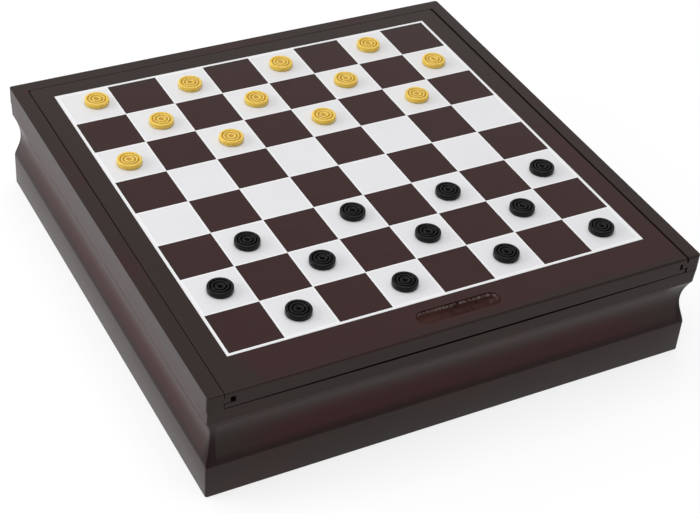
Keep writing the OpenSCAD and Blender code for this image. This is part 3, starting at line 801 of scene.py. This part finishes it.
# Where the pips of each count lie, in steps from the middle.
MIDDLE = [(0, 0)]
DIAGONAL = [(-1, 1), (1, -1)]
CORNERS = DIAGONAL + [(1, 1), (-1, -1)]
PIP_PLACES = [[], MIDDLE, DIAGONAL, DIAGONAL + MIDDLE, CORNERS, CORNERS + MIDDLE,
              CORNERS + [(-1, 0), (1, 0)]]


def pip(shell, centre, normal, side, radius):
    """A round dab of paint that stands slightly proud of a face. side is any direction in it."""
    other = normal.cross(side)
    shell.solid([shell.circle(centre + normal * lift, side, other, radius * share, PIP_SIDES)
                 for share, lift in PIP_RINGS])


def make_domino_pips(material):
    """Pips for a double-six set, laid out in two layers of two columns by seven rows."""
    pairs = [(a, b) for a in range(7) for b in range(a, 7)]
    random.Random(28).shuffle(pairs)
    low, high = box_mm("dominoes")
    pitch = Vector(((high.x - low.x + TILE_GAP) / TILE_COLUMNS,
                    (high.y - low.y + TILE_GAP) / TILE_ROWS, TILE_LAYER))
    half = Vector(((pitch.x - TILE_GAP) / 2, (pitch.y - TILE_GAP) / 2, 0))
    first = low + half + Vector((0, 0, TILE_THICKNESS))
    x, z = Vector((1, 0, 0)), Vector((0, 0, 1))
    shell = Shell()
    for number, pair in enumerate(pairs):
        row, column = divmod(number, TILE_COLUMNS)
        layer, row = divmod(row, TILE_ROWS)
        middle = first + Vector((column * pitch.x, row * pitch.y, layer * pitch.z))
        for count, way in zip(pair, (-1, 1)):
            for a, b in PIP_PLACES[count]:
                step = Vector((TILE_PIP_PITCH * b, TILE_PIP_PITCH * a, 0))
                pip(shell, middle + x * (way * half.x / 2) + step, z, x, TILE_PIP_RADIUS)
    shell.piece("domino_pips", "box", "black_plastic", material)


def dice_places():
    """The middle and the turn of each die: three in front of two, each turned further."""
    turns = [math.radians(DIE_TURN * k) for k in range(DICE)]
    reach = [DIE / 2 * (abs(math.cos(turn)) + abs(math.sin(turn))) for turn in turns]
    low = box_mm("dice")[0]
    x, y = low.x + max(reach[0], reach[3]), low.y + max(reach[:3])
    return [(Vector((x + k % 3 * DIE_PITCH, y + k // 3 * DIE_PITCH, low.z + DIE / 2)), turn)
            for k, turn in enumerate(turns)]


def make_dice_pips(material):
    """Pips on the dice. Those on opposite faces add up to seven."""
    shell = Shell()
    for centre, turn in dice_places():
        x = Vector((math.cos(turn), math.sin(turn), 0))
        y = Vector((-math.sin(turn), math.cos(turn), 0))
        z = Vector((0, 0, 1))
        faces = ((z, x, 3), (-z, x, 4), (x, y, 6), (-x, y, 1), (y, z, 5), (-y, z, 2))
        for normal, side, count in faces:
            other = normal.cross(side)
            for a, b in PIP_PLACES[count]:
                step = side * (DIE_PIP_PITCH * a) + other * (DIE_PIP_PITCH * b)
                pip(shell, centre + normal * (DIE / 2) + step, normal, side, DIE_PIP_RADIUS)
    shell.piece("dice_pips", "box", "black_plastic", material)


def make_cup_stitches(material):
    """Waxed stitches round the dice cup, just under its rim."""
    low, high = box_mm("dice_cup")
    centre = foot_of("dice_cup")
    centre.z = high.z - STITCH_BELOW_RIM
    radius = (high.x - low.x) / 2 - STITCH_INSET
    up = Vector((0, 0, 1))
    shell = Shell()
    for angle in (math.tau * k / STITCHES for k in range(STITCHES)):
        out = Vector((math.cos(angle), math.sin(angle), 0))
        side = up.cross(out)
        rings = []
        for share in (k / 3 - 1 for k in range(7)):
            girth = STITCH_THICKNESS * math.sqrt(max(0.0, 1 - share ** 4)) + 0.02
            middle = centre + out * radius + side * (share * STITCH_LENGTH / 2)
            rings.append(shell.circle(middle, out, up, girth, 8))
        shell.solid(rings)
    shell.piece("cup_stitches", "box", "cup_leather", material)


# ---------- the box ----------


def numbered(side):
    return [f"{side}_draught_{i:02d}" for i in range(1, 13)]


def chessmen(side):
    return [f"{side}_{name}" for name in ("king", "queen", "bishops", "knights", "rooks", "pawns")]


def give(material, *nodes):
    """Puts a material on CAD nodes."""
    for name in nodes:
        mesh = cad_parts[name].data
        mesh.materials.clear()
        mesh.materials.append(material)


def ease_arrises(*nodes):
    """Softens the sharp edges of CAD nodes by a bevel."""
    for name in nodes:
        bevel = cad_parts[name].modifiers.new("eased", "BEVEL")
        bevel.width = ARRIS_EASE * MM
        bevel.segments = 3
        bevel.limit_method = "ANGLE"
        bevel.angle_limit = math.radians(50)
        bevel.harden_normals = True


def finish_nodes():
    """Gives the CAD nodes that stay their materials and eased edges."""
    give(stained_wood("stained_side_rails", "y", rail_redness, rail_marks), *SIDE_RAILS)
    give(stained_wood("stained_back_rail", "x", rail_redness, rail_marks), "back_rail")
    give(stained_wood("stained_lid", "x", lid_redness, lid_marks), "lid_panel")
    give(white_ink(), "board_print")
    give(inner_wood(), "base_panel", *DIVIDERS)
    give(felt(), "lining")
    give(turned_wood("pale_wood", PALE_WOOD, PALE_GRAIN, 0.32), *chessmen("light"))
    give(turned_wood("dark_wood", DARK_WOOD, DARK_GRAIN, 0.28), *chessmen("dark"))
    give(moulded_plastic("ivory_plastic"), "dominoes", "dice")
    give(printed_card("red_card", CARD_RED, "first_card_pack"), "first_card_pack")
    give(printed_card("blue_card", CARD_BLUE, "second_card_pack"), "second_card_pack")
    give(cup_leather(), "dice_cup")
    ease_arrises(*SIDE_RAILS, "back_rail", *DIVIDERS)


def make_pieces():
    """Makes the pieces that replace CAD nodes or are added to them."""
    make_walls()
    make_draughts("light", "yellow_plastic", "yellow_groove_shade")
    make_draughts("dark", "black_plastic", "black_groove_shade")
    pips = moulded_plastic("pip_paint")
    make_domino_pips(pips)
    make_dice_pips(pips)
    make_cup_stitches(moulded_plastic("waxed_thread"))


# ---------- studio ----------


def make_camera():
    """The camera, level and then rolled about its line of sight."""
    azimuth, elevation, roll = (math.radians(a) for a in
                                (CAMERA_AZIMUTH, CAMERA_ELEVATION, CAMERA_ROLL))
    back = Vector((math.sin(azimuth) * math.cos(elevation),
                   -math.cos(azimuth) * math.cos(elevation), math.sin(elevation)))
    level = Vector((0, 0, 1)).cross(back).normalized()
    upright = back.cross(level)
    right = level * math.cos(roll) + upright * math.sin(roll)
    up = upright * math.cos(roll) - level * math.sin(roll)
    data = bpy.data.cameras.new("camera")
    data.lens = CAMERA_LENS
    data.sensor_width = SENSOR
    data.clip_start, data.clip_end = 0.01, 100
    camera = bpy.data.objects.new("camera", data)
    bpy.context.scene.collection.objects.link(camera)
    turn = Matrix((right, up, back)).transposed().to_4x4()
    camera.matrix_world = Matrix.Translation(CAMERA_PLACE) @ turn
    bpy.context.scene.camera = camera


def softbox(name, place, size, power):
    """A square area light that points at the middle of the box's top."""
    data = bpy.data.lights.new(name, "AREA")
    data.shape = "SQUARE"
    data.size = size
    data.energy = power
    lamp = bpy.data.objects.new(name, data)
    lamp.location = place
    target = Vector((0, 0, BOX_TOP * MM))
    lamp.rotation_mode = "QUATERNION"
    lamp.rotation_quaternion = (target - Vector(place)).to_track_quat("-Z", "Y")
    bpy.context.scene.collection.objects.link(lamp)


def make_world():
    """A pale studio like a light tent: brightest behind the box and along the horizon."""
    world = bpy.data.worlds.new("studio")
    bpy.context.scene.world = world
    world.use_nodes = True
    nodes, links = world.node_tree.nodes, world.node_tree.links
    direction = nodes.new("ShaderNodeTexCoord").outputs["Generated"]
    parts = nodes.new("ShaderNodeSeparateXYZ")
    links.new(direction, parts.inputs[0])

    def fade(socket, start, end, first, last):
        """A level that goes smoothly from first to last, which are numbers or sockets, while
        the socket, one part of the direction of sight, goes from start to end."""
        share = nodes.new("ShaderNodeMapRange")
        share.interpolation_type = "SMOOTHSTEP"
        links.new(socket, share.inputs[0])
        share.inputs[1].default_value, share.inputs[2].default_value = start, end
        mix = nodes.new("ShaderNodeMix")
        links.new(share.outputs[0], mix.inputs[0])
        for number, value in ((2, first), (3, last)):
            if isinstance(value, bpy.types.NodeSocket):
                links.new(value, mix.inputs[number])
            else:
                mix.inputs[number].default_value = value
        return mix.outputs[0]

    back, up = parts.outputs[1], parts.outputs[2]
    behind = fade(up, 0.50, 0.70, BEHIND_LEVEL, OVERHEAD_LEVEL)
    in_front = fade(back, -0.45, 0.0, FRONT_LEVEL, OVERHEAD_LEVEL)
    high = fade(back, 0.15, 0.55, in_front, behind)
    links.new(fade(up, 0.02, 0.12, HORIZON_LEVEL, high), nodes["Background"].inputs["Color"])


def make_floor():
    """A white floor. What the camera sees of it is partly its own glow, so it stays white and
    still takes the object's shadow; the light that it throws back is that of plain white."""
    bpy.ops.mesh.primitive_plane_add(size=2 * FLOOR_REACH, location=(0, 0, -FLOOR_DROP * MM))
    floor = bpy.context.object
    floor.name = "floor"
    material = bpy.data.materials.new("floor")
    material.use_nodes = True
    nodes, links = material.node_tree.nodes, material.node_tree.links
    nodes.remove(nodes["Principled BSDF"])

    def diffuse(level):
        node = nodes.new("ShaderNodeBsdfDiffuse")
        node.inputs["Color"].default_value = (level, level, level, 1)
        return node.outputs[0]

    glow = nodes.new("ShaderNodeEmission")
    glow.inputs["Strength"].default_value = FLOOR_GLOW
    seen = nodes.new("ShaderNodeAddShader")
    links.new(diffuse(FLOOR_SEEN), seen.inputs[0])
    links.new(glow.outputs[0], seen.inputs[1])
    path = nodes.new("ShaderNodeLightPath")
    direct = path.outputs["Is Camera Ray"]
    for other in ("Is Glossy Ray", "Is Transmission Ray"):
        most = nodes.new("ShaderNodeMath")
        most.operation = "MAXIMUM"
        links.new(direct, most.inputs[0])
        links.new(path.outputs[other], most.inputs[1])
        direct = most.outputs[0]
    mix = nodes.new("ShaderNodeMixShader")
    links.new(direct, mix.inputs[0])
    links.new(diffuse(FLOOR_WHITE), mix.inputs[1])
    links.new(seen.outputs[0], mix.inputs[2])
    links.new(mix.outputs[0], nodes["Material Output"].inputs["Surface"])
    floor.data.materials.append(material)


make_camera()
finish_nodes()
make_pieces()
softbox("overhead", place=(-0.1, 0.0, 1.5), size=1.3, power=11.5)
softbox("left", place=(-1.6, 0.6, 0.7), size=1.0, power=12)
make_world()
make_floor()
bpy.context.scene.view_settings.view_transform = "Standard"
